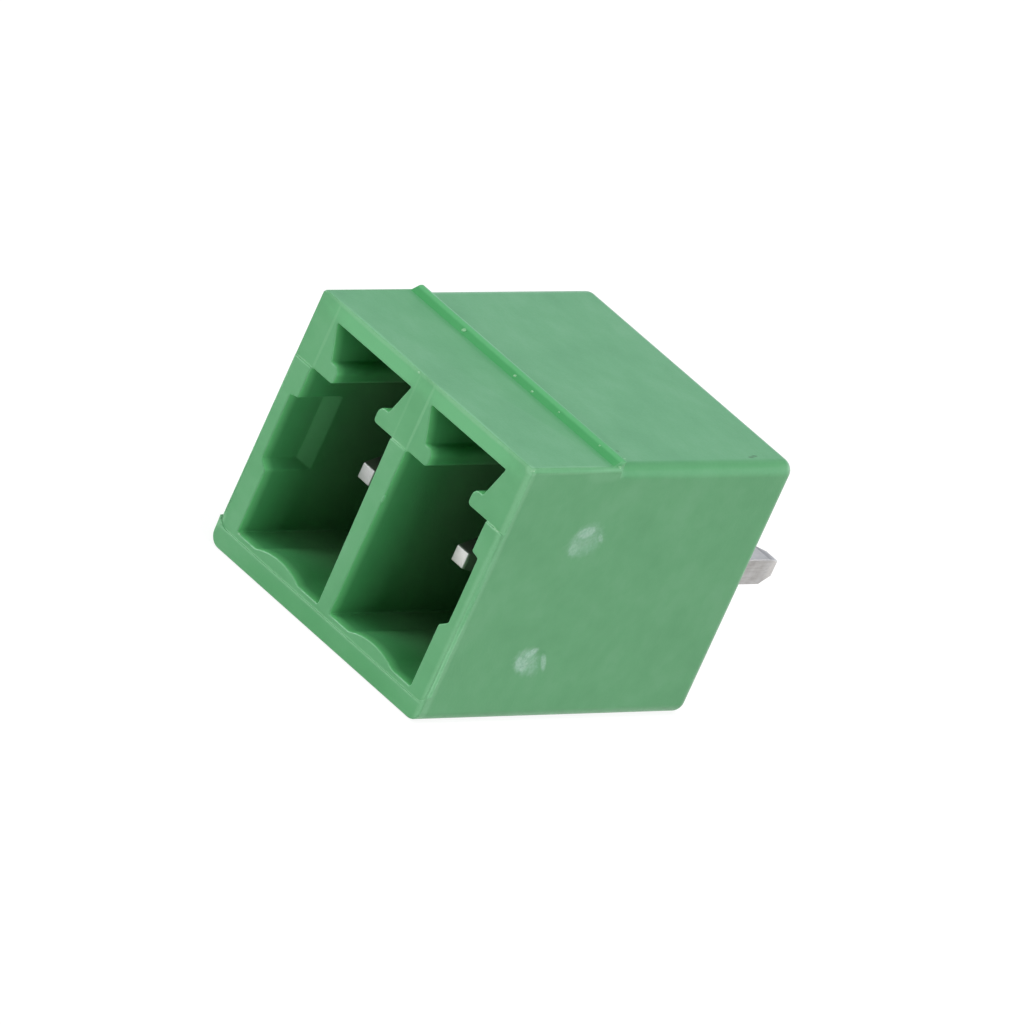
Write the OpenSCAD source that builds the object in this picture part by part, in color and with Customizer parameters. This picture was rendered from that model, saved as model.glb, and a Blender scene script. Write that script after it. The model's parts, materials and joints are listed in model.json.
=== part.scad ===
// Two-pole straight pin header: the board half of a pluggable terminal block.
// A moulded housing with two plug chambers holds two square contact pins.
// Sizes are in millimetres. The housing is drawn from its mating face (y = 0) back to its board face and
// from its underside (z = 0) up, then moved so that the origin lies in the board face, midway between the
// two solder tails.

/* [Poles] */
// Distance between the two poles
pitch = 3.81; // [3.5:0.01:5.08]
// Thickness of the wall between the chambers, halfway up
divider_t = 0.55; // [0.4:0.01:0.8]
// How much thinner that wall is at its foot than at its head
divider_taper = 0.14; // [0:0.01:0.2]

/* [Walls] */
// Thickness of each end wall
end_wall_t = 0.69; // [0.5:0.01:1.2]
// Thickness of the floor under the chambers
floor_t = 0.7; // [0.5:0.01:1.2]
// Thickness of the wall over the chambers
lintel_t = 0.51; // [0.4:0.01:1]
// Thickness of the solid base at the board end
base_t = 2.28; // [1.8:0.01:3]

/* [Plug chambers] */
// Depth of the chambers from the mating face to the base
cavity_d = 7.5; // [6:0.05:9]
// Height of a chamber from its floor to the underside of its hooks
chamber_h = 4.87; // [4.5:0.01:5.5]
// Height of the rounded rib along the chamber floor
rib_h = 0.2; // [0.1:0.01:0.3]
// Width of the rounded rib where it meets the floor
rib_w = 1.75; // [1.2:0.01:2.2]

/* [Dovetail slot and hooks] */
// Thickness of the hooks
hook_t = 0.48; // [0.4:0.01:0.7]
// How far each hook reaches in from the chamber wall
hook_reach = 0.8; // [0.6:0.01:0.95]
// Radius on the upper corner of a hook's tip
hook_top_r = 0.22; // [0.12:0.01:0.25]
// Radius on the lower corner of a hook's tip
hook_low_r = 0.12; // [0.06:0.01:0.14]
// Height of the dovetail slot above the hooks
slot_h = 0.94; // [0.6:0.01:1.3]
// How far the edges of the slot's ceiling lie inside the chamber walls
slot_inset = 0.14; // [0.05:0.01:0.25]
// How far each side of the slot leans out from the hooks to the ceiling
slot_flare = 0.325; // [0.2:0.005:0.4]

/* [End wall recess] */
// Depth of the recess into the end wall
recess_t = 0.26; // [0.1:0.01:0.35]
// Height of the recess
recess_h = 1.9; // [1.5:0.01:2.4]
// Height of the lower edge of the recess above the chamber floor
recess_rise = 2.03; // [1.5:0.01:2.3]
// Length of the recess that has its full depth, from the mating face
recess_flat = 1.25; // [0.8:0.01:2]
// Length of the ramp at the inner end of the recess
recess_ramp = 0.4; // [0.2:0.01:1]
// Bevel along the upper edge of the recess
recess_top_bevel = 0.06; // [0.02:0.01:0.2]
// Bevel along the lower edge of the recess
recess_low_bevel = 0.2; // [0.05:0.01:0.3]

/* [Contact pins] */
// Width across the flats of the square pins
pin_size = 0.75; // [0.6:0.01:1]
// Height of the contact axis above the chamber floor
contact_rise = 2.74; // [2:0.01:3.5]
// Distance of the contact tips inside the mating face
contact_setback = 1.72; // [1:0.01:3]
// Length of the tapered contact tip
contact_taper = 0.9; // [0.4:0.01:1.5]
// Width of the flat at the end of the contact tip
contact_tip_w = 0.44; // [0.3:0.01:0.55]
// Length of the solder tails beyond the board face
tail_len = 3.57; // [2.5:0.01:5]
// Length of the tapered tail tip
tail_taper = 0.53; // [0.3:0.01:1]
// Width of the flat at the end of the tail
tail_tip_w = 0.46; // [0.3:0.01:0.55]
// How far the tail lies below the contact axis
tail_drop = 0.44; // [0:0.01:0.6]
// Straight length of the pin in the base before and after its step
pin_grip = 0.6; // [0.3:0.01:0.8]
// Clearance all round the pin in the base
pin_clearance = 0.01; // [0.005:0.005:0.05]

/* [Latch ridge] */
// Distance of the ridge's front foot behind the mating face
ridge_y = 3.05; // [2:0.01:5]
// Length of the ridge's front slope
ridge_slope = 0.28; // [0.2:0.01:0.8]
// Length of the flat along the top of the ridge
ridge_crest = 0.12; // [0.05:0.01:0.4]
// Height of the ridge
ridge_h = 0.15; // [0.1:0.01:0.4]
// How far the ridge's ends lie inside the end faces
ridge_inset = 0.1; // [0.05:0.01:0.4]

/* [Mating face] */
// Height of the proud band along the foot of the mating face
band_h = 0.54; // [0.42:0.01:0.65]
// How far the band stands proud of the mating face
band_proud = 0.04; // [0.02:0.01:0.15]
// Radius of the curl at each end of the band
band_curl_r = 0.45; // [0.3:0.01:0.6]
// How far the curl runs out past the end face
band_curl_lap = 0.05; // [0.03:0.01:0.1]
// How far the mating face is set back above the level of the hooks' underside
head_setback = 0.06; // [0.03:0.01:0.15]

/* [Edges] */
// Radius on the long lower edges, on the upper edges behind the ridge and round the board face
edge_r = 0.35; // [0.2:0.01:0.42]
// Radius on the long upper edges in front of the ridge
front_top_r = 0.12; // [0.05:0.01:0.2]
// Radius round the mating face
mating_edge_r = 0.1; // [0.05:0.01:0.2]

/* [Gate marks] */
// Diameter of the dished gate marks on the right end face
gate_d = 1.04; // [0.6:0.01:1.4]
// Depth of the dish
gate_depth = 0.07; // [0.03:0.01:0.15]
// Distance of the gate marks behind the mating face
gate_y = 3.09; // [2:0.01:5]
// Height of the lower gate mark
gate_low_z = 1.82; // [1:0.01:2.5]
// Distance from the lower to the upper gate mark
gate_spacing = 3.54; // [2:0.01:4.5]

/* [Hidden] */
$fn = 64;
housing_green = [0.25, 0.6, 0.36];
tinned = [0.8, 0.79, 0.77];
chamber_w = pitch - divider_t;
throat_w = chamber_w - 2 * hook_reach;
slot_top_w = chamber_w - 2 * slot_inset;
slot_root_w = slot_top_w - 2 * slot_flare;
// Outer size of the housing
body_w = pitch + chamber_w + 2 * end_wall_t;
body_d = cavity_d + base_t;
hook_z = floor_t + chamber_h;
slot_z = hook_z + hook_t;
ceiling_z = slot_z + slot_h;
body_h = ceiling_z + lintel_t;
// How far each side of the divider leans from its middle height to its head or foot
divider_lean = divider_taper / 4;
pole_x = [-pitch / 2, pitch / 2];
// Where the ridge's front slope ends and the softer upper edges begin
crest_y = ridge_y + ridge_slope;
// Heights of the pin's two stretches
contact_z = floor_t + contact_rise;
tail_z = contact_z - tail_drop;
// Arc of the floor rib, from its width and height
rib_r = (rib_w * rib_w / 4 + rib_h * rib_h) / (2 * rib_h);
// Ball that leaves a dish of the gate mark's width and depth
gate_ball_r = (gate_d * gate_d / 4 + gate_depth * gate_depth) / (2 * gate_depth);
// How far cutting shapes run past the faces that they cut
over = 1;
// How far joined shapes run into each other
bite = 0.2;

// Rectangle from the origin with its own radius on each corner
module soft_rect(w, h, low_left, low_right, top_right, top_left) {
    polygon([
        [low_left, 0], [w - low_right, 0], [w, low_right], [w, h - top_right],
        [w - top_right, h], [top_left, h], [0, h - top_left], [0, low_left]
    ]);
    translate([low_left, low_left]) circle(low_left);
    translate([w - low_right, low_right]) circle(low_right);
    translate([w - top_right, h - top_right]) circle(top_right);
    translate([top_left, h - top_left]) circle(top_left);
}

// Extrudes an (x, z) drawing from one depth to another
module along_y(from, to) {
    translate([0, to, 0]) rotate([90, 0, 0]) linear_extrude(to - from) children();
}

// Extrudes a (y, z) drawing from one side to the other
module along_x(from, to) {
    translate([from, 0, 0]) rotate([90, 0, 90]) linear_extrude(to - from) children();
}

// Puts the origin in the board face, midway between the tails
module in_part_frame() {
    translate([0, -body_d, -tail_z]) children();
}

// Outline of the housing seen from the front
module front_outline(top_r) {
    translate([-body_w / 2, 0]) soft_rect(body_w, body_h, edge_r, edge_r, top_r, top_r);
}

// Outline of the housing seen from above
module top_outline() {
    translate([-body_w / 2, 0])
        soft_rect(body_w, body_d, mating_edge_r, mating_edge_r, edge_r, edge_r);
}

// Outline of the housing seen from its right end
module side_outline() {
    soft_rect(body_d, body_h, mating_edge_r, edge_r, edge_r, mating_edge_r);
}

// Outer block, where the three outlines meet
module body_block() {
    intersection() {
        union() {
            along_y(0, crest_y) front_outline(front_top_r);
            along_y(crest_y - bite, body_d) front_outline(edge_r);
        }
        linear_extrude(body_h) top_outline();
        along_x(-body_w / 2, body_w / 2) side_outline();
    }
}

// What lies outside the ball that rounds a corner of the board face
module corner_waste() {
    difference() {
        cube(edge_r + over);
        sphere(edge_r);
    }
}

// What lies outside the balls at the upper and lower corners of one end
module end_corner_waste() {
    translate([body_w / 2 - edge_r, body_d - edge_r, 0]) {
        translate([0, 0, body_h - edge_r]) corner_waste();
        translate([0, 0, edge_r]) mirror([0, 0, 1]) corner_waste();
    }
}

// Band along the foot of the mating face, curling up at its ends
module foot_band() {
    along_y(-band_proud, bite)
        difference() {
            front_outline(front_top_r);
            translate([-body_w / 2 - band_curl_lap, band_h])
                soft_rect(body_w + 2 * band_curl_lap, body_h, band_curl_r, band_curl_r, 0, 0);
        }
}

// Ridge across the top that the plug's latch snaps over
module latch_ridge() {
    along_x(-body_w / 2 + ridge_inset, body_w / 2 - ridge_inset)
        polygon([
            [ridge_y, body_h - bite], [ridge_y, body_h], [crest_y, body_h + ridge_h],
            [crest_y + ridge_crest, body_h + ridge_h], [crest_y + ridge_crest, body_h - bite]
        ]);
}

// One of the two hooks, reaching in from the wall on the positive side
module hook_outline() {
    translate([throat_w / 2, hook_z])
        soft_rect(chamber_w / 2, hook_t, hook_low_r, 0, 0, hook_top_r);
}

// Opening of one chamber, with positive x towards its end wall
module chamber_outline() {
    wall_x = chamber_w / 2;
    difference() {
        union() {
            polygon([
                [-wall_x - divider_lean, floor_t], [wall_x, floor_t],
                [wall_x, hook_z], [-wall_x + divider_lean, hook_z]
            ]);
            polygon([
                [-slot_root_w / 2, hook_z - bite], [slot_root_w / 2, hook_z - bite],
                [slot_root_w / 2, slot_z], [slot_top_w / 2, ceiling_z],
                [-slot_top_w / 2, ceiling_z], [-slot_root_w / 2, slot_z]
            ]);
        }
        hook_outline();
        mirror([1, 0]) hook_outline();
        translate([0, floor_t + rib_h - rib_r]) circle(rib_r);
    }
}

// Shallow pocket in the end wall beside the chamber mouth
module wall_recess() {
    wall_x = chamber_w / 2;
    low_z = floor_t + recess_rise;
    intersection() {
        along_y(-over, cavity_d)
            polygon([
                [wall_x - bite, low_z - recess_low_bevel], [wall_x, low_z - recess_low_bevel],
                [wall_x + recess_t, low_z], [wall_x + recess_t, low_z + recess_h],
                [wall_x, low_z + recess_h + recess_top_bevel],
                [wall_x - bite, low_z + recess_h + recess_top_bevel]
            ]);
        linear_extrude(body_h)
            polygon([
                [wall_x - bite, -over], [wall_x + recess_t, -over], [wall_x + recess_t, recess_flat],
                [wall_x, recess_flat + recess_ramp], [wall_x - bite, recess_flat + recess_ramp]
            ]);
    }
}

// Everything that is open inside one pole, with positive x towards its end wall
module chamber() {
    along_y(-over, cavity_d) chamber_outline();
    wall_recess();
}

// Shallow cut that sets the mating face back above the level of the hooks' underside
module head_cut() {
    translate([-body_w / 2 - over, -over, hook_z]) cube([body_w + 2 * over, over + head_setback, body_h]);
}

// Dishes where the moulding gates were broken off
module gate_marks() {
    for (z = [gate_low_z, gate_low_z + gate_spacing])
        translate([body_w / 2 + gate_ball_r - gate_depth, gate_y, z]) sphere(gate_ball_r);
}

// Square pin with tapered ends and a step inside the base, grown by a clearance for its seat
module pin_form(grow) {
    half = pin_size / 2 + grow;
    contact_half = contact_tip_w / 2 + grow;
    tail_half = tail_tip_w / 2 + grow;
    tip_y = contact_setback;
    shank_y = tip_y + contact_taper;
    step_y = cavity_d + pin_grip;
    tail_y = body_d - pin_grip;
    end_y = body_d + tail_len;
    intersection() {
        along_x(-half, half)
            polygon([
                [tip_y, contact_z - contact_half], [shank_y, contact_z - half], [step_y, contact_z - half],
                [tail_y, tail_z - half], [end_y - tail_taper, tail_z - half], [end_y, tail_z - tail_half],
                [end_y, tail_z + tail_half], [end_y - tail_taper, tail_z + half], [tail_y, tail_z + half],
                [step_y, contact_z + half], [shank_y, contact_z + half], [tip_y, contact_z + contact_half]
            ]);
        linear_extrude(body_h)
            polygon([
                [-contact_half, tip_y], [contact_half, tip_y], [half, shank_y], [half, end_y - tail_taper],
                [tail_half, end_y], [-tail_half, end_y], [-half, end_y - tail_taper], [-half, shank_y]
            ]);
    }
}

module housing() {
    color(housing_green) in_part_frame()
        difference() {
            union() {
                body_block();
                foot_band();
                latch_ridge();
            }
            translate([pole_x[1], 0, 0]) chamber();
            translate([pole_x[0], 0, 0]) mirror([1, 0, 0]) chamber();
            for (x = pole_x) translate([x, 0, 0]) pin_form(pin_clearance);
            head_cut();
            gate_marks();
            for (side = [0, 1]) mirror([side, 0, 0]) end_corner_waste();
        }
}

module contact_pin(x) {
    color(tinned) in_part_frame() translate([x, 0, 0]) pin_form(0);
}

module contact_pin_left() {
    contact_pin(pole_x[0]);
}

module contact_pin_right() {
    contact_pin(pole_x[1]);
}

housing();
contact_pin_left();
contact_pin_right();
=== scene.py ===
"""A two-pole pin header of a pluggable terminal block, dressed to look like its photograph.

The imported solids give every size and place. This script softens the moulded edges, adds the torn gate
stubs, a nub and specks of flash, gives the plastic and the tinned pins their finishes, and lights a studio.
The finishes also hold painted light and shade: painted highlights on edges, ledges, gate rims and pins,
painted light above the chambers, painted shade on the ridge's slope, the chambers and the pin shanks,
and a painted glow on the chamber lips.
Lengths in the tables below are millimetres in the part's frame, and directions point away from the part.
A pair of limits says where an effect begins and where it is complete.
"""
import json
import math

import bmesh
import bpy
from mathutils import Matrix, Vector

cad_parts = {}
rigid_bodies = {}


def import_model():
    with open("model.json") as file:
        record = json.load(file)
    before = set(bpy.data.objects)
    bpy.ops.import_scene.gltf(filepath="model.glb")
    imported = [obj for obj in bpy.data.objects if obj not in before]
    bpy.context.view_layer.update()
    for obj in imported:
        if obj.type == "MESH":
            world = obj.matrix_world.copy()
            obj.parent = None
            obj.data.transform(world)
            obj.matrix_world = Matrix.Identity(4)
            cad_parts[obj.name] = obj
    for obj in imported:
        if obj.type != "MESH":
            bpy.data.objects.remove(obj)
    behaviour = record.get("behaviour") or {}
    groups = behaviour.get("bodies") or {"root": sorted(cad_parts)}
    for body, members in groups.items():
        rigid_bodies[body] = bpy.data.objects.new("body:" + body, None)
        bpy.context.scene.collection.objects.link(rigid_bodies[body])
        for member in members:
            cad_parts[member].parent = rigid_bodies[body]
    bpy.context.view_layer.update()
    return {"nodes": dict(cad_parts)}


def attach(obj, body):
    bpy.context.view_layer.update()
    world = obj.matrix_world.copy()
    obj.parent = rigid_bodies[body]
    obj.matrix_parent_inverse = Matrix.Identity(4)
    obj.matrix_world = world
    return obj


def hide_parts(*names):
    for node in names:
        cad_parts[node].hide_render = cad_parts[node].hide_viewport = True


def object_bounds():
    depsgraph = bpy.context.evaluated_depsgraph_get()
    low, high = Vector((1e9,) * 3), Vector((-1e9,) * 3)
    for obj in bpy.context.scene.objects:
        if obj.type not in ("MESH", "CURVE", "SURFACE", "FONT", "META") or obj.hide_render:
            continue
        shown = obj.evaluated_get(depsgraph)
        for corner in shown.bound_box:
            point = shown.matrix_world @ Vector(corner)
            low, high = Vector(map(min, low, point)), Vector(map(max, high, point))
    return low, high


MM = 0.001

# Camera, as the photograph was taken
VIEW_AIM = (1.259, -6.063, 1.310)
VIEW_DISTANCE = 475.0
VIEW_AZIMUTH = 38.216
VIEW_ELEVATION = 22.357
VIEW_ROLL = 24.56
SENSOR_WIDTH = 36.0
FOCAL_PIXELS = 19000
IMAGE_PIXELS = 1024
NEAREST_SEEN = 10
FARTHEST_SEEN = 10000

# Studio
SOFT_BOXES = {
    "overhead_box": {"towards": (0.25, 0.10, 0.96), "watts": 0.86},
    "overhead_front_box": {"towards": (0.0, -0.35, 0.93), "watts": 0.26},
    "right_side_box": {"towards": (0.97, -0.20, 0.15), "watts": 0.50},
    "left_front_box": {"towards": (-0.70, -0.70, 0.15), "watts": 1.16},
    "rear_fill_box": {"towards": (0.20, 0.97, 0.12), "watts": 0.22},
}
SOFT_BOX_SIZE = 200
SOFT_BOX_DISTANCE = 360
AMBIENT_LEVEL = 0.005
CEILING_LEVEL = 0.03
REFLECTED_TINT = (0.96, 1.04, 1.20, 1)
HORIZON_ENDS = 0.40
CEILING_STARTS = 0.60
FLOOR_RADIUS = 1500
FLOOR_SIDES = 96
FLOOR_GAP = 0.02
FLOOR_GLOW = 0.92
FLOOR_SHADOW_TINT = 0.15
FLOOR_BOUNCE = 0.75

# Softened edges of the moulding and of the pins
MERGE_GAP = 0.002
FLAT_WITHIN = 0.6
SOFT_EDGE_FROM = 33
SOFT_EDGE_TO = 112
MOULDED_EDGE = 0.04
EDGE_SHARE_OF_ROOM = 0.32
EDGE_SEGMENTS = 3
ROUNDING = "bevel_weight_edge"
ROUNDED_FACE = 1
SHARP_SHADING = 38
PIN_EDGE = 0.03
STRIP_TILT = 0.02
BEHIND_RIDGE = -6.26
CHAMBER_END = -2.28

# Pale torn skin round the gates on the right end, with a painted highlight on each gate's raised upper-left
# rim: place, half sizes, turn about X and paleness
TORN_AND_LIT_PATCHES = (
    ((4.19, -6.66, 2.37), (0.40, 0.71, 0.56), 12, 0.42),
    ((4.19, -6.71, 2.58), (0.40, 0.40, 0.24), 12, 0.90),
    ((4.19, -6.89, 2.11), (0.40, 0.34, 0.22), 0, 0.60),
    ((4.19, -6.16, 2.45), (0.40, 0.24, 0.10), -50, 0.55),
    ((4.19, -6.76, -1.22), (0.40, 0.68, 0.42), -30, 0.50),
    ((4.19, -6.71, -1.00), (0.40, 0.28, 0.16), 34, 0.95),
    ((4.19, -6.90, -1.30), (0.40, 0.44, 0.27), -27, 0.90),
    ((4.19, -6.15, -1.26), (0.40, 0.34, 0.11), -61, 0.70),
)
# Painted highlights along edges, ledges and seams, and painted light over thin shaded strips and corners
# beside them: place, half sizes, turn about X and paleness
PAINTED_EDGE_HIGHLIGHTS = (
    ((4.20, -9.74, 0.00), (0.22, 0.22, 12.0), 0, 0.60),
    ((4.15, -9.70, 4.45), (0.24, 0.20, 0.22), 0, 1.00),
    ((1.90, -9.70, 4.47), (2.80, 0.10, 0.10), 0, 0.75),
    ((-1.90, -9.70, 4.47), (2.80, 0.10, 0.10), 0, 0.65),
    ((4.18, -8.20, 4.46), (0.16, 2.80, 0.14), 0, 0.55),
    ((4.14, -2.50, 4.42), (0.30, 6.00, 0.30), 0, 0.25),
    ((4.22, -7.00, 4.34), (0.20, 0.90, 0.30), 0, 0.30),
    ((-3.80, -9.76, 2.57), (0.60, 0.08, 0.05), 0, 0.80),
    ((0.00, -9.76, 2.57), (0.60, 0.08, 0.05), 0, 0.90),
    ((3.86, -9.76, 2.57), (0.55, 0.08, 0.05), 0, 0.90),
    ((-3.53, -9.72, 3.50), (0.06, 0.10, 1.60), 0, 0.32),
    ((-0.29, -9.72, 3.50), (0.05, 0.10, 1.60), 0, 0.20),
    ((0.27, -9.72, 3.50), (0.06, 0.10, 1.60), 0, 0.45),
    ((0.00, -9.80, -2.46), (9.00, 0.08, 0.06), 0, 0.60),
    ((-4.20, -9.80, -2.32), (0.20, 0.20, 0.30), 0, 0.90),
)
# Painted light on the faces above the chambers and a painted highlight on the crest of the latch ridge,
# lighter than the skin round them
PAINTED_LIGHT_FACES = (
    ((-1.90, -9.72, 4.24), (2.40, 0.20, 0.42), 0, 0.90),
    ((1.90, -9.72, 4.24), (2.40, 0.20, 0.42), 0, 0.90),
    ((0.00, -6.44, 4.64), (12.0, 0.15, 0.12), 0, 0.80),
)
# Painted shade on the slope of the latch ridge and on the band below the mouth, deeper in colour than the
# skin round them
PAINTED_SHADE_FACES = (
    ((0.00, -6.68, 4.53), (12.0, 0.30, 0.30), 28, 0.70),
    ((0.50, -9.80, -2.82), (4.60, 0.30, 0.50), 0, 0.50),
)
# Small dark scuffs on top: place, half sizes, turn about X and depth of colour
SCUFFS = (
    ((3.81, -1.42, 4.50), (0.05, 0.13, 0.10), 0, 0.80),
    ((3.76, -1.25, 4.50), (0.05, 0.13, 0.10), 0, 0.80),
    ((3.42, -5.97, 4.50), (0.07, 0.07, 0.10), 0, 0.50),
)
# Painted light on the pins: tops and tips of the solder tails, and one contact tip
PAINTED_LIGHT_TIN_FACES = (
    ((-1.905, 2.00, 0.41), (1.20, 4.00, 0.06), 0, 1.00),
    ((1.905, 2.00, 0.41), (1.20, 4.00, 0.06), 0, 1.00),
    ((-1.53, 3.68, 0.10), (0.40, 0.56, 1.20), 0, 0.35),
    ((2.28, 3.68, 0.10), (0.40, 0.56, 1.20), 0, 0.35),
    ((1.905, -8.06, 0.00), (1.00, 0.12, 1.00), 0, 0.60),
)
# Stubs and nubs of plastic, and pale flash on the edges: place, half sizes and turn about X
PLASTIC_NUBS = (
    ((4.158, -6.64, 2.40), (0.034, 0.34, 0.24), 12),
    ((4.166, -6.72, 2.58), (0.030, 0.20, 0.09), 18),
    ((4.160, -6.78, -1.22), (0.034, 0.30, 0.26), 20),
    ((4.168, -6.86, -1.10), (0.028, 0.17, 0.08), 35),
    ((0.285, -9.745, 1.150), (0.055, 0.050, 0.110), 0),
)
NUB_LUMPS = {"Lump Depth": 0.014, "Lumps Per Millimetre": 7.0, "Seed": 3}
EDGE_FLASH = (
    ((-2.108, -6.609, 4.565), (0.060, 0.064, 0.036), 28),
    ((-0.003, -6.635, 4.551), (0.040, 0.044, 0.026), 28),
    ((0.718, -6.657, 4.539), (0.036, 0.040, 0.024), 28),
    ((1.720, -6.600, 4.570), (0.024, 0.028, 0.018), 28),
    ((3.300, -6.560, 4.590), (0.024, 0.028, 0.018), 28),
    ((4.130, -6.540, 4.480), (0.050, 0.060, 0.040), 0),
    ((3.770, -6.030, 4.495), (0.036, 0.050, 0.016), 0),
    ((4.150, -9.670, 4.440), (0.060, 0.055, 0.045), 30),
    ((-0.380, -9.700, 4.440), (0.050, 0.030, 0.040), 30),
    ((3.640, -9.730, 2.550), (0.070, 0.036, 0.020), 0),
    ((3.950, -9.750, 2.570), (0.100, 0.030, 0.020), 0),
    ((-3.440, -9.765, -2.300), (0.060, 0.024, 0.020), 0),
)
FLASH_LUMPS = {"Lump Depth": 0.012, "Lumps Per Millimetre": 14.0, "Seed": 8}
LUMP_SIZE = "lump_size"
LUMP_TURN = "lump_turn"
LUMP_FINENESS = 4
LUMP_DETAIL = 3

# Finishes, as linear colours
PLASTIC_DARK = (0.086, 0.335, 0.134, 1)
PLASTIC_MID = (0.100, 0.362, 0.150, 1)
PLASTIC_PALE = (0.120, 0.385, 0.172, 1)
# Pale green for edge wear and for the painted highlights along edges, ledges and seams
WORN_AND_HIGHLIT_PLASTIC = (0.200, 0.490, 0.255, 1)
# Painted shade green, also near the chambers' mouths
PAINTED_SHADE_PLASTIC = (0.058, 0.325, 0.105, 1)
SCUFFED_PLASTIC = (0.030, 0.160, 0.050, 1)
# Whitish torn plastic at the gates, also used for the painted highlight on their rims
TORN_AND_LIT_PLASTIC = (0.400, 0.620, 0.500, 1)
# Painted light and painted highlight green
PAINTED_LIGHT_PLASTIC = (0.125, 0.450, 0.190, 1)
# Painted shade tint deep inside the chambers
SHADE_TINT_PLASTIC = (0.135, 0.300, 0.145, 1)
# Painted glow on the lips of the chambers
PAINTED_GLOW_PLASTIC = (0.170, 0.640, 0.240, 1)
FLASH_DARK = (0.140, 0.420, 0.180, 1)
FLASH_MID = (0.220, 0.500, 0.260, 1)
FLASH_PALE = (0.380, 0.620, 0.400, 1)
TIN_DARK = (0.330, 0.315, 0.300, 1)
TIN_MID = (0.420, 0.405, 0.390, 1)
TIN_PALE = (0.500, 0.490, 0.485, 1)
TIN_SHADED = (0.190, 0.195, 0.170, 1)
# Paler tip faces of the contacts: partly the bare cut tin, partly painted light
PALE_AND_LIT_TIP_TIN = (0.460, 0.455, 0.445, 1)
# Painted light on the tails and one contact tip
PAINTED_LIGHT_TIN = (0.780, 0.750, 0.715, 1)

# Where the finishes change: along the pins, at the mouth and inside the chambers, where shade and a glow
# are painted
TIP_FACE = (-8.02, -8.05)
SHANK_ENDS = (-3.0, -2.0)
WORN_AND_SHINY_FRONT = (-9.60, -9.70)
CHAMBER_SIDES = (4.00, 3.90)
WHOLE_HEIGHT = ((-2.60, -2.45), (4.30, 4.20))
BELOW_LEDGE = ((-2.60, -2.45), (2.60, 2.54))
ABOVE_LEDGE = ((2.54, 2.60), (4.30, 4.20))
INNER_DEPTH = ((-9.20, -6.50), (-1.50, -2.00))
OUTER_DEPTH = ((-9.65, -9.45), (-7.60, -9.00))
LOWER_LIP = ((-9.775, -9.745), (-9.42, -9.74))
UPPER_LIP = ((-9.715, -9.685), (-9.38, -9.68))
# Shares of the painted shade near the mouths and of the painted glow on the lips
OUTER_SHADE_SHARE = 0.6
LIP_GLOW_SHARE = 0.85

# Clouds, grain and patches, as the node groups make them
CLOUD_DETAIL = 3
CLOUD_ROUGHNESS = 0.55
CLOUD_SPREAD = (0.32, 0.68)
STREAK_DETAIL = 2
GRAIN_DETAIL = 4
FLECK_SCALE = 0.45
FLECK_DETAIL = 1
FLECK_FADE = 0.05
RAG_SCALE = 6
RAG_DETAIL = 3
NOISE_MIDDLE = 0.5
PATCH_FADE = (1.05, 0.45)

# Values of each finish. Ranges give the grain's height from and to, and then the result from and to
ROUNDED_EDGE_POINTS = "rounded_edge_points"
PLASTIC_IOR = 1.48
PLASTIC_CLOUDS = {
    "Clouds Per Millimetre": 0.7, "Streaks Per Millimetre": (1.6, 2.4, 2.4), "Streak Share": 0.3,
    "Dark": PLASTIC_DARK, "Middle": PLASTIC_MID, "Pale": PLASTIC_PALE,
}
PLASTIC_GRAIN = {"Grains Per Millimetre": (14, 14, 14), "Fleck Level": 0.70}
PLASTIC_ROUGHNESS = (0.3, 0.7, 0.30, 0.38)
PLASTIC_BUMP = 0.003
MOULDED_WAVES = 0.2
# Edge wear and a painted highlight on the rounded edges of the mouth
MOUTH_EDGE_WEAR_AND_SHINE = 0.12
HIGHLIGHT_RAGGEDNESS = 0.35
HIGHLIGHT_RANGE = (0.35, 0.60, 0.75, 1.0)
FACE_RAGGEDNESS = 0.3
TORN_RAGGEDNESS = 0.6
TORN_RANGE = (0.30, 0.65, 0.55, 1.0)
TORN_ROUGHNESS = 0.25
TORN_FIBRES = 5.0
SCUFF_RAGGEDNESS = 0.5
FLASH_CLOUDS = {
    "Clouds Per Millimetre": 5.0, "Streaks Per Millimetre": (6.0, 4.0, 14.0),
    "Dark": FLASH_DARK, "Middle": FLASH_MID, "Pale": FLASH_PALE,
}
FLASH_GRAIN = {"Grains Per Millimetre": (30, 18, 45), "Fleck Level": 0.62}
FLASH_FLECKS = 0.6
FLASH_ROUGHNESS = (0.3, 0.7, 0.42, 0.62)
FLASH_BUMP = 0.012
TIN_CLOUDS = {
    "Clouds Per Millimetre": 3.0, "Streaks Per Millimetre": (16.0, 1.2, 16.0),
    "Dark": TIN_DARK, "Middle": TIN_MID, "Pale": TIN_PALE,
}
TIN_GRAIN = {"Grains Per Millimetre": (60, 6, 60), "Fleck Level": 0.66}
TIN_FLECKS = 0.5
TIN_ROUGHNESS = (0.3, 0.7, 0.22, 0.36)
SHANK_ROUGHNESS = 0.30
TAIL_ROUGHNESS = 0.20
TIN_RAGGEDNESS = 0.3
TIN_BUMP = 0.003


def put(tree, kind, inputs=(), **options):
    """Adds a node, sets its options, and links or sets its inputs by name or number."""
    made = tree.nodes.new(kind)
    for key, value in options.items():
        setattr(made, key, value)
    for key, value in dict(inputs).items():
        if isinstance(value, bpy.types.NodeSocket):
            tree.links.new(value, made.inputs[key])
        else:
            made.inputs[key].default_value = value
    return made


def clear_start_scene():
    """Removes whatever the empty file came with."""
    for obj in list(bpy.data.objects):
        bpy.data.objects.remove(obj)


def add_object(name, data):
    """Links a new object at the origin."""
    obj = bpy.data.objects.new(name, data)
    bpy.context.scene.collection.objects.link(obj)
    return obj


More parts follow.
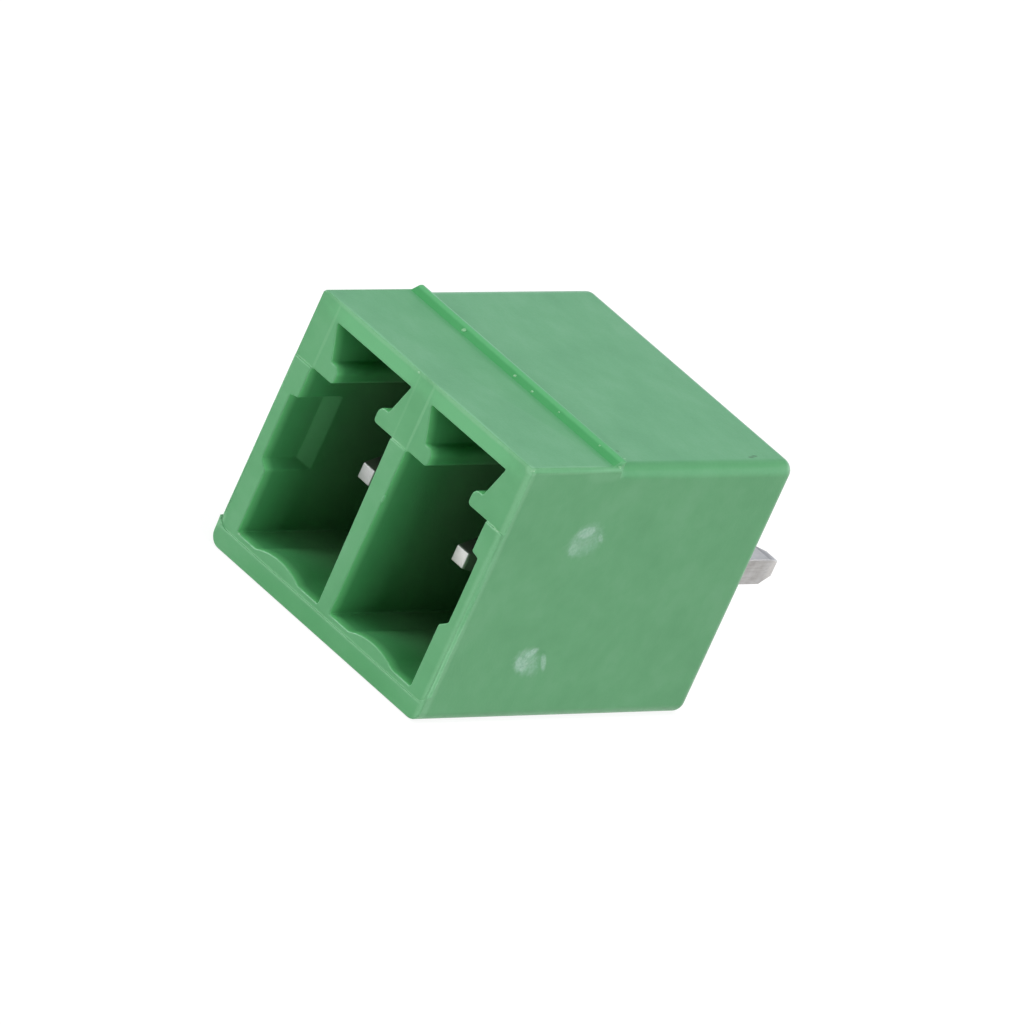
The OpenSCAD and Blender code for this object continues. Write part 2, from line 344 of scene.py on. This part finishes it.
def add_camera():
    """Sets the camera at the photograph's angle, tilt and distance."""
    azimuth = math.radians(VIEW_AZIMUTH)
    elevation = math.radians(VIEW_ELEVATION)
    level_right = Vector((math.cos(azimuth), math.sin(azimuth), 0))
    back = Vector((
        math.sin(azimuth) * math.cos(elevation),
        -math.cos(azimuth) * math.cos(elevation),
        math.sin(elevation),
    ))
    level_up = back.cross(level_right)
    turn = Matrix.Rotation(math.radians(VIEW_ROLL), 3, back)
    right = turn @ level_right
    up = turn @ level_up
    camera = bpy.data.cameras.new("photo_camera")
    camera.sensor_width = SENSOR_WIDTH
    camera.lens = FOCAL_PIXELS / IMAGE_PIXELS * SENSOR_WIDTH
    camera.clip_start = NEAREST_SEEN * MM
    camera.clip_end = FARTHEST_SEEN * MM
    obj = add_object("photo_camera", camera)
    place = (Vector(VIEW_AIM) + back * VIEW_DISTANCE) * MM
    obj.matrix_world = Matrix.LocRotScale(place, Matrix((right, up, back)).transposed(), None)
    bpy.context.scene.camera = obj


def add_soft_boxes():
    """Hangs the studio's soft boxes round the part, each facing its middle."""
    low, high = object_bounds()
    middle = (Vector(low) + Vector(high)) / 2
    for name, box in SOFT_BOXES.items():
        lamp = bpy.data.lights.new(name, "AREA")
        lamp.shape = "SQUARE"
        lamp.size = SOFT_BOX_SIZE * MM
        lamp.energy = box["watts"]
        towards = Vector(box["towards"]).normalized()
        obj = add_object(name, lamp)
        obj.location = middle + towards * SOFT_BOX_DISTANCE * MM
        obj.rotation_euler = towards.to_track_quat("Z", "Y").to_euler()


def seen_in_mirrors(tree, ray):
    """1 for what shows in a gloss or through glass."""
    return calculate(tree, "MAXIMUM", ray.outputs["Is Glossy Ray"], ray.outputs["Is Transmission Ray"])


def add_surroundings():
    """A white room: plain for the camera, darker overhead in reflections, and dim as fill light."""
    world = bpy.data.worlds.new("white_studio")
    bpy.context.scene.world = world
    world.use_nodes = True
    tree = world.node_tree
    tree.nodes.clear()
    way = put(tree, "ShaderNodeTexCoord")
    parts = put(tree, "ShaderNodeSeparateXYZ", {0: way.outputs["Generated"]})
    overhead = put(tree, "ShaderNodeMapRange", {
        "Value": parts.outputs["Z"], "From Min": HORIZON_ENDS, "From Max": CEILING_STARTS,
        "To Min": 1.0, "To Max": CEILING_LEVEL,
    }, interpolation_type="SMOOTHSTEP")
    ray = put(tree, "ShaderNodeLightPath")
    mirrored = seen_in_mirrors(tree, ray)
    fill = put(tree, "ShaderNodeMix", {0: mirrored, 2: AMBIENT_LEVEL, 3: overhead.outputs[0]})
    level = put(tree, "ShaderNodeMix", {0: ray.outputs["Is Camera Ray"], 2: fill.outputs[0], 3: 1.0})
    hue = blend_colour(tree, ray.outputs["Is Camera Ray"], REFLECTED_TINT, (1, 1, 1, 1))
    sky = put(tree, "ShaderNodeBackground", {"Color": hue, "Strength": level.outputs[0]})
    put(tree, "ShaderNodeOutputWorld", {"Surface": sky.outputs[0]})


def white_floor_finish():
    """Near white for the camera and in reflections, with the shadow kept; pale paper for other light."""
    finish = bpy.data.materials.new("white_paper")
    finish.use_nodes = True
    tree = finish.node_tree
    tree.nodes.clear()
    glow = put(tree, "ShaderNodeEmission", {"Strength": FLOOR_GLOW})
    shade = put(tree, "ShaderNodeBsdfDiffuse", {"Color": (FLOOR_SHADOW_TINT,) * 3 + (1,)})
    seen = put(tree, "ShaderNodeAddShader", {0: glow.outputs[0], 1: shade.outputs[0]})
    paper = put(tree, "ShaderNodeBsdfDiffuse", {"Color": (FLOOR_BOUNCE,) * 3 + (1,)})
    ray = put(tree, "ShaderNodeLightPath")
    shown = calculate(tree, "MAXIMUM", ray.outputs["Is Camera Ray"], seen_in_mirrors(tree, ray))
    either = put(tree, "ShaderNodeMixShader", {0: shown, 1: paper.outputs[0], 2: seen.outputs[0]})
    put(tree, "ShaderNodeOutputMaterial", {"Surface": either.outputs[0]})
    return finish


def add_floor():
    """A round sheet of white paper that the part lies on."""
    low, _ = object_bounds()
    sheet = bmesh.new()
    bmesh.ops.create_circle(sheet, cap_ends=True, segments=FLOOR_SIDES, radius=FLOOR_RADIUS * MM)
    bmesh.ops.translate(sheet, verts=sheet.verts, vec=(0, 0, low[2] - FLOOR_GAP * MM))
    mesh = bpy.data.meshes.new("studio_floor")
    sheet.to_mesh(mesh)
    sheet.free()
    mesh.materials.append(white_floor_finish())
    add_object("studio_floor", mesh)


def room_beside(edge, face):
    """Distance across the face from the middle of the edge to the far side of its outline."""
    loop = next(corner for corner in edge.link_loops if corner.face == face)
    start = loop.vert.co
    end = edge.other_vert(loop.vert).co
    along = (end - start).normalized()
    inward = face.normal.cross(along)
    middle = (start + end) / 2
    room = edge.calc_length() + sum(other.calc_length() for other in face.edges)
    for other in face.edges:
        if other == edge:
            continue
        first, last = (vert.co - middle for vert in other.verts)
        before, after = first.dot(along), last.dot(along)
        if (before <= 0) == (after <= 0):
            continue
        share = before / (before - after)
        across = first.dot(inward) * (1 - share) + last.dot(inward) * share
        if across > 0:
            room = min(room, across)
    return room


def cut_tilted_strips(shape, place):
    """Cuts the narrow faces of the rounded edges across, so that no small corner bends all their length."""
    strips = [
        face for face in shape.faces
        if min(abs(face.normal.x), abs(face.normal.z)) > STRIP_TILT
    ]
    geometry = {part for face in strips for part in (face, *face.edges, *face.verts)}
    bmesh.ops.bisect_plane(
        shape, geom=list(geometry), dist=MERGE_GAP * MM, plane_co=(0, place * MM, 0), plane_no=(0, 1, 0)
    )


def in_back_wall(edge):
    """Says whether an edge lies in the back wall of a chamber, where edges stay sharp."""
    return all(abs(vert.co.y - CHAMBER_END * MM) < MERGE_GAP * MM for vert in edge.verts)


def merged_solid(node, width):
    """A copy of a CAD node's mesh with whole faces, and on each sharp edge its share of the rounding."""
    shape = bmesh.new()
    shape.from_mesh(node.data)
    bmesh.ops.remove_doubles(shape, verts=shape.verts, dist=MERGE_GAP * MM)
    bmesh.ops.dissolve_limit(
        shape, angle_limit=math.radians(FLAT_WITHIN), verts=shape.verts, edges=shape.edges
    )
    cut_tilted_strips(shape, BEHIND_RIDGE)
    shape.normal_update()
    weight = shape.edges.layers.float.new(ROUNDING)
    for edge in shape.edges:
        if in_back_wall(edge):
            continue
        if SOFT_EDGE_FROM < math.degrees(edge.calc_face_angle()) < SOFT_EDGE_TO:
            room = min(room_beside(edge, face) for face in edge.link_faces)
            edge[weight] = min(1.0, EDGE_SHARE_OF_ROOM * room / width)
    mesh = bpy.data.meshes.new("solid")
    mesh.materials.append(None)
    mesh.materials.append(None)
    shape.to_mesh(mesh)
    shape.free()
    return mesh


def mark_rounded_edge_points(mesh):
    """Marks the points inside rounded edges for the finish, and puts every face on the first material."""
    inside = [True] * len(mesh.vertices)
    for face in mesh.polygons:
        if face.material_index != ROUNDED_FACE:
            for index in face.vertices:
                inside[index] = False
        face.material_index = 0
    edge_wear_and_shine = mesh.attributes.new(ROUNDED_EDGE_POINTS, "FLOAT", "POINT")
    edge_wear_and_shine.data.foreach_set("value", [float(value) for value in inside])


def soften(node, edge_width):
    """A CAD node's mesh with small rounded edges, narrower where there is little room."""
    width = edge_width * MM
    piece = add_object("rounded", merged_solid(node, width))
    rounding = piece.modifiers.new("rounding", "BEVEL")
    rounding.limit_method = "WEIGHT"
    rounding.width = width
    rounding.segments = EDGE_SEGMENTS
    rounding.use_clamp_overlap = False
    rounding.miter_outer = "MITER_ARC"
    rounding.material = ROUNDED_FACE
    mesh = as_plain_mesh(piece)
    mark_rounded_edge_points(mesh)
    for face in mesh.polygons:
        face.use_smooth = True
    mesh.set_sharp_from_angle(angle=math.radians(SHARP_SHADING))
    piece = add_object("shaded", mesh)
    shading = piece.modifiers.new("shading", "WEIGHTED_NORMAL")
    shading.keep_sharp = True
    return as_plain_mesh(piece)


def as_plain_mesh(piece):
    """Turns an object with modifiers into a plain mesh, and removes the object."""
    graph = bpy.context.evaluated_depsgraph_get()
    mesh = bpy.data.meshes.new_from_object(piece.evaluated_get(graph))
    source = piece.data
    bpy.data.objects.remove(piece)
    bpy.data.meshes.remove(source)
    return mesh


def add_piece(name, mesh, finish, replaced=()):
    """Puts a finished mesh in the scene as a piece that rides on the part's one body."""
    mesh.name = name
    mesh.materials.clear()
    mesh.materials.append(finish)
    piece = add_object(name, mesh)
    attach(piece, "root")
    if replaced:
        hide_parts(*replaced)
    return piece


def new_group(name, inputs, outputs):
    """Starts a shader node group with named inputs and outputs, and gives its two end nodes."""
    tree = bpy.data.node_groups.new(name, "ShaderNodeTree")
    for label, kind, value in inputs:
        socket = tree.interface.new_socket(label, in_out="INPUT", socket_type=kind)
        socket.default_value = value
    for label, kind in outputs:
        tree.interface.new_socket(label, in_out="OUTPUT", socket_type=kind)
    return tree, put(tree, "NodeGroupInput"), put(tree, "NodeGroupOutput")


def cloudy_tint_group():
    """Soft clouds and drawn-out flow streaks between three colours."""
    tree, given, result = new_group(
        "cloudy_tint",
        (
            ("Position", "NodeSocketVector", (0, 0, 0)),
            ("Clouds Per Millimetre", "NodeSocketFloat", 0.5),
            ("Streaks Per Millimetre", "NodeSocketVector", (0.4, 3, 3)),
            ("Streak Share", "NodeSocketFloat", 0.4),
            ("Dark", "NodeSocketColor", (0, 0, 0, 1)),
            ("Middle", "NodeSocketColor", (0.5, 0.5, 0.5, 1)),
            ("Pale", "NodeSocketColor", (1, 1, 1, 1)),
        ),
        (("Colour", "NodeSocketColor"), ("Shade", "NodeSocketFloat")),
    )
    clouds = put(tree, "ShaderNodeTexNoise", {
        "Vector": given.outputs["Position"], "Scale": given.outputs["Clouds Per Millimetre"],
        "Detail": CLOUD_DETAIL, "Roughness": CLOUD_ROUGHNESS,
    })
    drawn = put(tree, "ShaderNodeVectorMath", {
        0: given.outputs["Position"], 1: given.outputs["Streaks Per Millimetre"],
    }, operation="MULTIPLY")
    streaks = put(tree, "ShaderNodeTexNoise", {
        "Vector": drawn.outputs[0], "Scale": 1, "Detail": STREAK_DETAIL,
    })
    both = put(tree, "ShaderNodeMix", {
        0: given.outputs["Streak Share"], 2: clouds.outputs[0], 3: streaks.outputs[0],
    })
    spread = remap(tree, both.outputs[0], *CLOUD_SPREAD)
    lower = remap(tree, spread, 0.0, 0.5)
    upper = remap(tree, spread, 0.5, 1.0)
    colour = blend_colour(tree, lower, given.outputs["Dark"], given.outputs["Middle"])
    colour = blend_colour(tree, upper, colour, given.outputs["Pale"])
    tree.links.new(colour, result.inputs["Colour"])
    tree.links.new(spread, result.inputs["Shade"])
    return tree


def fine_grain_group():
    """Close grain for bump and roughness, with a sparse mask of small flecks."""
    tree, given, result = new_group(
        "fine_grain",
        (
            ("Position", "NodeSocketVector", (0, 0, 0)),
            ("Grains Per Millimetre", "NodeSocketVector", (10, 10, 10)),
            ("Fleck Level", "NodeSocketFloat", 0.7),
        ),
        (("Height", "NodeSocketFloat"), ("Flecks", "NodeSocketFloat")),
    )
    drawn = put(tree, "ShaderNodeVectorMath", {
        0: given.outputs["Position"], 1: given.outputs["Grains Per Millimetre"],
    }, operation="MULTIPLY")
    grain = put(tree, "ShaderNodeTexNoise", {
        "Vector": drawn.outputs[0], "Scale": 1, "Detail": GRAIN_DETAIL,
    })
    flecks = put(tree, "ShaderNodeTexNoise", {
        "Vector": drawn.outputs[0], "Scale": FLECK_SCALE, "Detail": FLECK_DETAIL,
    })
    level = given.outputs["Fleck Level"]
    shown = remap(tree, flecks.outputs[0], level, calculate(tree, "ADD", level, FLECK_FADE))
    tree.links.new(grain.outputs[0], result.inputs["Height"])
    tree.links.new(shown, result.inputs["Flecks"])
    return tree


def soft_patch_group():
    """A soft ragged patch: 1 in the middle of a turned ellipsoid and 0 outside it."""
    tree, given, result = new_group(
        "soft_patch",
        (
            ("Position", "NodeSocketVector", (0, 0, 0)),
            ("Place", "NodeSocketVector", (0, 0, 0)),
            ("Half Size", "NodeSocketVector", (1, 1, 1)),
            ("Turn", "NodeSocketVector", (0, 0, 0)),
            ("Raggedness", "NodeSocketFloat", 0.8),
        ),
        (("Mask", "NodeSocketFloat"),),
    )
    within = put(tree, "ShaderNodeMapping", {
        "Vector": given.outputs["Position"], "Location": given.outputs["Place"],
        "Rotation": given.outputs["Turn"], "Scale": given.outputs["Half Size"],
    }, vector_type="TEXTURE")
    reach = put(tree, "ShaderNodeVectorMath", {0: within.outputs[0]}, operation="LENGTH")
    rag = put(tree, "ShaderNodeTexNoise", {
        "Vector": given.outputs["Position"], "Scale": RAG_SCALE, "Detail": RAG_DETAIL,
    })
    level = calculate(tree, "SUBTRACT", rag.outputs[0], NOISE_MIDDLE)
    ragged = calculate(tree, "MULTIPLY", level, given.outputs["Raggedness"])
    edge = calculate(tree, "ADD", reach.outputs["Value"], ragged)
    begins, complete = PATCH_FADE
    mask = put(tree, "ShaderNodeMapRange", {
        "Value": edge, "From Min": begins, "From Max": complete, "To Min": 0, "To Max": 1,
    }, interpolation_type="SMOOTHSTEP")
    tree.links.new(mask.outputs[0], result.inputs["Mask"])
    return tree


def new_finish(name):
    """Starts a material and gives its tree, its shader and the surface position in millimetres."""
    finish = bpy.data.materials.new(name)
    finish.use_nodes = True
    tree = finish.node_tree
    place = put(tree, "ShaderNodeTexCoord")
    position = put(tree, "ShaderNodeVectorMath", {
        0: place.outputs["Object"], "Scale": 1 / MM,
    }, operation="SCALE")
    return finish, tree, tree.nodes["Principled BSDF"], position.outputs[0]


def place_group(tree, group, inputs):
    """Places a shader node group in a material with its own values."""
    return put(tree, "ShaderNodeGroup", inputs, node_tree=group)


def blend_colour(tree, share, first, second):
    """Mixes two colours by a mask."""
    return put(tree, "ShaderNodeMix", {0: share, 6: first, 7: second}, data_type="RGBA").outputs[2]


def calculate(tree, operation, first, second):
    """One step of arithmetic on two values."""
    return put(tree, "ShaderNodeMath", {0: first, 1: second}, operation=operation).outputs[0]


def remap(tree, value, low, high, to_low=0.0, to_high=1.0):
    """Carries a value from one range to another, with its ends held."""
    return put(tree, "ShaderNodeMapRange", {
        "Value": value, "From Min": low, "From Max": high, "To Min": to_low, "To Max": to_high,
    }).outputs[0]


def strongest_patch(tree, group, position, table, raggedness):
    """The strongest of a table's patches at each place."""
    strongest = None
    for place, half_size, turn, strength in table:
        patch = place_group(tree, group, {
            "Position": position, "Place": place, "Half Size": half_size,
            "Turn": (math.radians(turn), 0, 0), "Raggedness": raggedness,
        })
        mask = calculate(tree, "MULTIPLY", patch.outputs["Mask"], strength)
        strongest = mask if strongest is None else calculate(tree, "MAXIMUM", strongest, mask)
    return strongest


def inside_chambers(tree, parts, heights, depths):
    """1 on the skin of the plug chambers between the given heights and depths, and 0 elsewhere."""
    spread = calculate(tree, "ABSOLUTE", parts.outputs["X"], 0.0)
    inside = remap(tree, spread, *CHAMBER_SIDES)
    for limits in heights:
        inside = calculate(tree, "MULTIPLY", inside, remap(tree, parts.outputs["Z"], *limits))
    for limits in depths:
        inside = calculate(tree, "MULTIPLY", inside, remap(tree, parts.outputs["Y"], *limits))
    return inside


def add_bump(tree, shader, height, depth):
    """Gives the shader a bump of a depth in millimetres."""
    bump = put(tree, "ShaderNodeBump", {"Height": height, "Distance": depth * MM, "Strength": 1})
    tree.links.new(bump.outputs[0], shader.inputs["Normal"])


def chamber_shade_and_glow(tree, parts, colour):
    """Paints shade in the plug chambers, a duller tint deep inside and a deeper green near their mouths,
    and paints a glow on their lips.
    """
    inner = inside_chambers(tree, parts, WHOLE_HEIGHT, INNER_DEPTH)
    colour = blend_colour(tree, inner, colour, SHADE_TINT_PLASTIC)
    outer = inside_chambers(tree, parts, WHOLE_HEIGHT, OUTER_DEPTH)
    colour = blend_colour(tree, calculate(tree, "MULTIPLY", outer, OUTER_SHADE_SHARE), colour, PAINTED_SHADE_PLASTIC)
    lower = inside_chambers(tree, parts, BELOW_LEDGE, LOWER_LIP)
    upper = inside_chambers(tree, parts, ABOVE_LEDGE, UPPER_LIP)
    lips = calculate(tree, "MAXIMUM", lower, upper)
    return blend_colour(tree, calculate(tree, "MULTIPLY", lips, LIP_GLOW_SHARE), colour, PAINTED_GLOW_PLASTIC)


def worn_and_highlit_skin(tree, patch, position, parts, height):
    """Mask of the pale skin: edge wear with a painted highlight on the rounded edges of the mouth, and the
    painted highlights and painted light in the table.
    """
    # edge wear and a painted highlight on the mouth's rounded edges
    edge = put(tree, "ShaderNodeAttribute", attribute_name=ROUNDED_EDGE_POINTS)
    mouth = remap(tree, parts.outputs["Y"], *WORN_AND_SHINY_FRONT)
    edge_wear_and_shine = calculate(tree, "MULTIPLY", edge.outputs["Fac"], mouth)
    edge_wear_and_shine = calculate(tree, "MULTIPLY", edge_wear_and_shine, MOUTH_EDGE_WEAR_AND_SHINE)
    highlit = strongest_patch(tree, patch, position, PAINTED_EDGE_HIGHLIGHTS, HIGHLIGHT_RAGGEDNESS)
    highlit = calculate(tree, "MAXIMUM", edge_wear_and_shine, highlit)
    return calculate(tree, "MULTIPLY", highlit, remap(tree, height, *HIGHLIGHT_RANGE))


def green_plastic_finish(tint, grain, patch):
    """Moulded green thermoplastic: satin gloss, faint clouds, edge wear with painted highlights, torn gates
    with painted rim highlights, scuffs, and painted light and shade.
    """
    finish, tree, shader, position = new_finish("moulded_green_plastic")
    clouds = place_group(tree, tint, {"Position": position, **PLASTIC_CLOUDS})
    skin = place_group(tree, grain, {"Position": position, **PLASTIC_GRAIN})
    skin_height = skin.outputs["Height"]
    parts = put(tree, "ShaderNodeSeparateXYZ", {0: position})
    # pale torn skin at the gates, with a painted highlight on their rims
    torn = strongest_patch(tree, patch, position, TORN_AND_LIT_PATCHES, TORN_RAGGEDNESS)
    # Marks over the skin: painted shade, painted light, edge wear with painted highlights, torn gates with
    # painted rim highlights, and scuffs
    marks = (
        (strongest_patch(tree, patch, position, PAINTED_SHADE_FACES, FACE_RAGGEDNESS), PAINTED_SHADE_PLASTIC),
        (strongest_patch(tree, patch, position, PAINTED_LIGHT_FACES, FACE_RAGGEDNESS), PAINTED_LIGHT_PLASTIC),
        (worn_and_highlit_skin(tree, patch, position, parts, skin_height), WORN_AND_HIGHLIT_PLASTIC),
        (calculate(tree, "MULTIPLY", torn, remap(tree, skin_height, *TORN_RANGE)), TORN_AND_LIT_PLASTIC),
        (strongest_patch(tree, patch, position, SCUFFS, SCUFF_RAGGEDNESS), SCUFFED_PLASTIC),
    )
    colour = chamber_shade_and_glow(tree, parts, clouds.outputs["Colour"])
    for mask, mark_colour in marks:
        colour = blend_colour(tree, mask, colour, mark_colour)
    tree.links.new(colour, shader.inputs["Base Color"])
    rough = remap(tree, skin_height, *PLASTIC_ROUGHNESS)
    rough = calculate(tree, "ADD", rough, calculate(tree, "MULTIPLY", torn, TORN_ROUGHNESS))
    tree.links.new(rough, shader.inputs["Roughness"])
    shader.inputs["IOR"].default_value = PLASTIC_IOR
    waves = calculate(tree, "MULTIPLY", clouds.outputs["Shade"], MOULDED_WAVES)
    fibres = calculate(tree, "MULTIPLY", calculate(tree, "MULTIPLY", torn, skin_height), TORN_FIBRES)
    height = calculate(tree, "ADD", calculate(tree, "ADD", skin_height, waves), fibres)
    add_bump(tree, shader, height, PLASTIC_BUMP)
    return finish


def flash_finish(tint, grain):
    """Thin flash on the edges, torn and so whitish and dull."""
    finish, tree, shader, position = new_finish("thin_flash_plastic")
    clouds = place_group(tree, tint, {"Position": position, **FLASH_CLOUDS})
    fibres = place_group(tree, grain, {"Position": position, **FLASH_GRAIN})
    flecks = calculate(tree, "MULTIPLY", fibres.outputs["Flecks"], FLASH_FLECKS)
    colour = blend_colour(tree, flecks, clouds.outputs["Colour"], FLASH_PALE)
    tree.links.new(colour, shader.inputs["Base Color"])
    rough = remap(tree, fibres.outputs["Height"], *FLASH_ROUGHNESS)
    tree.links.new(rough, shader.inputs["Roughness"])
    shader.inputs["IOR"].default_value = PLASTIC_IOR
    add_bump(tree, shader, fibres.outputs["Height"], FLASH_BUMP)
    return finish


def tinned_finish(tint, grain, patch):
    """Satin tin plating with streaks along the pin, painted shade on the shanks inside the chambers, and
    painted light on the contact tips and the tails.
    """
    finish, tree, shader, position = new_finish("satin_tin_plating")
    clouds = place_group(tree, tint, {"Position": position, **TIN_CLOUDS})
    drawn = place_group(tree, grain, {"Position": position, **TIN_GRAIN})
    flecks = calculate(tree, "MULTIPLY", drawn.outputs["Flecks"], TIN_FLECKS)
    colour = blend_colour(tree, flecks, clouds.outputs["Colour"], TIN_DARK)
    parts = put(tree, "ShaderNodeSeparateXYZ", {0: position})
    # paler contact tip faces, partly painted light
    tip = remap(tree, parts.outputs["Y"], *TIP_FACE)
    outside = remap(tree, parts.outputs["Y"], *SHANK_ENDS)
    colour = blend_colour(tree, outside, TIN_SHADED, colour)
    colour = blend_colour(tree, tip, colour, PALE_AND_LIT_TIP_TIN)
    # painted light on the tails' tops and tips and on one contact tip
    painted_light = strongest_patch(tree, patch, position, PAINTED_LIGHT_TIN_FACES, TIN_RAGGEDNESS)
    colour = blend_colour(tree, painted_light, colour, PAINTED_LIGHT_TIN)
    tree.links.new(colour, shader.inputs["Base Color"])
    rough = remap(tree, drawn.outputs["Height"], *TIN_ROUGHNESS)
    dulling = remap(tree, outside, 0.0, 1.0, SHANK_ROUGHNESS, TAIL_ROUGHNESS)
    tree.links.new(calculate(tree, "ADD", rough, dulling), shader.inputs["Roughness"])
    shader.inputs["Metallic"].default_value = 1
    add_bump(tree, shader, drawn.outputs["Height"], TIN_BUMP)
    return finish


def lumps_tree():
    """Geometry Nodes: a lumpy blob on each point, with the point's own size and turn."""
    tree = bpy.data.node_groups.new("lumps_on_points", "GeometryNodeTree")
    for label, kind in (
        ("Points", "NodeSocketGeometry"),
        ("Lump Depth", "NodeSocketFloat"),
        ("Lumps Per Millimetre", "NodeSocketFloat"),
        ("Seed", "NodeSocketInt"),
        ("Finish", "NodeSocketMaterial"),
    ):
        tree.interface.new_socket(label, in_out="INPUT", socket_type=kind)
    tree.interface.new_socket("Mesh", in_out="OUTPUT", socket_type="NodeSocketGeometry")
    given = put(tree, "NodeGroupInput")
    blob = put(tree, "GeometryNodeMeshIcoSphere", {"Radius": 1, "Subdivisions": LUMP_FINENESS})
    size = put(tree, "GeometryNodeInputNamedAttribute", {"Name": LUMP_SIZE}, data_type="FLOAT_VECTOR")
    turn = put(tree, "GeometryNodeInputNamedAttribute", {"Name": LUMP_TURN}, data_type="FLOAT_VECTOR")
    turned = put(tree, "FunctionNodeEulerToRotation", {0: turn.outputs[0]})
    placed = put(tree, "GeometryNodeInstanceOnPoints", {
        "Points": given.outputs["Points"], "Instance": blob.outputs["Mesh"],
        "Rotation": turned.outputs[0], "Scale": size.outputs[0],
    })
    real = put(tree, "GeometryNodeRealizeInstances", {0: placed.outputs[0]})
    where = put(tree, "GeometryNodeInputPosition")
    outward = put(tree, "GeometryNodeInputNormal")
    noise = put(tree, "ShaderNodeTexNoise", {
        "Vector": where.outputs[0], "W": given.outputs["Seed"], "Detail": LUMP_DETAIL,
        "Scale": calculate(tree, "DIVIDE", given.outputs["Lumps Per Millimetre"], MM),
    }, noise_dimensions="4D")
    depth = calculate(tree, "MULTIPLY", given.outputs["Lump Depth"], MM)
    move = calculate(tree, "MULTIPLY", remap(tree, noise.outputs[0], 0.0, 1.0, -1.0, 1.0), depth)
    offset = put(tree, "ShaderNodeVectorMath", {0: outward.outputs[0], "Scale": move}, operation="SCALE")
    shaped = put(tree, "GeometryNodeSetPosition", {
        "Geometry": real.outputs[0], "Offset": offset.outputs[0],
    })
    smooth = put(tree, "GeometryNodeSetShadeSmooth", {"Geometry": shaped.outputs[0]})
    dressed = put(tree, "GeometryNodeSetMaterial", {
        "Geometry": smooth.outputs[0], "Material": given.outputs["Finish"],
    })
    put(tree, "NodeGroupOutput", {0: dressed.outputs[0]})
    return tree


def grow_lumps(tree, table, values, finish):
    """Runs the lumps tree on a table of places, half sizes and turns, and gives a plain mesh."""
    points = bpy.data.meshes.new("lump_points")
    points.from_pydata([Vector(place) * MM for place, _, _ in table], [], [])
    sizes = points.attributes.new(LUMP_SIZE, "FLOAT_VECTOR", "POINT")
    turns = points.attributes.new(LUMP_TURN, "FLOAT_VECTOR", "POINT")
    for index, (_, half_size, turn) in enumerate(table):
        sizes.data[index].vector = Vector(half_size) * MM
        turns.data[index].vector = (math.radians(turn), 0, 0)
    piece = add_object("lump_points", points)
    grown = piece.modifiers.new("lumps", "NODES")
    grown.node_group = tree
    inputs = {**values, "Finish": finish}
    for item in tree.interface.items_tree:
        if item.name in inputs:
            grown[item.identifier] = inputs[item.name]
    return as_plain_mesh(piece)


clear_start_scene()
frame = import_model()
bpy.context.scene.view_settings.view_transform = "Standard"

add_camera()
add_soft_boxes()
add_surroundings()
add_floor()

nodes = frame["nodes"]
tint = cloudy_tint_group()
grain = fine_grain_group()
patch = soft_patch_group()
plastic = green_plastic_finish(tint, grain, patch)
flash = flash_finish(tint, grain)
tin = tinned_finish(tint, grain, patch)
housing = soften(nodes["housing"], MOULDED_EDGE)
add_piece("moulded_housing", housing, plastic, ["housing"])
for side in ("left", "right"):
    pin = f"contact_pin_{side}"
    add_piece(f"tinned_pin_{side}", soften(nodes[pin], PIN_EDGE), tin, [pin])
lumps = lumps_tree()
nubs = grow_lumps(lumps, PLASTIC_NUBS, NUB_LUMPS, plastic)
add_piece("gate_stubs_and_nubs", nubs, plastic)
specks = grow_lumps(lumps, EDGE_FLASH, FLASH_LUMPS, flash)
add_piece("edge_flash", specks, flash)
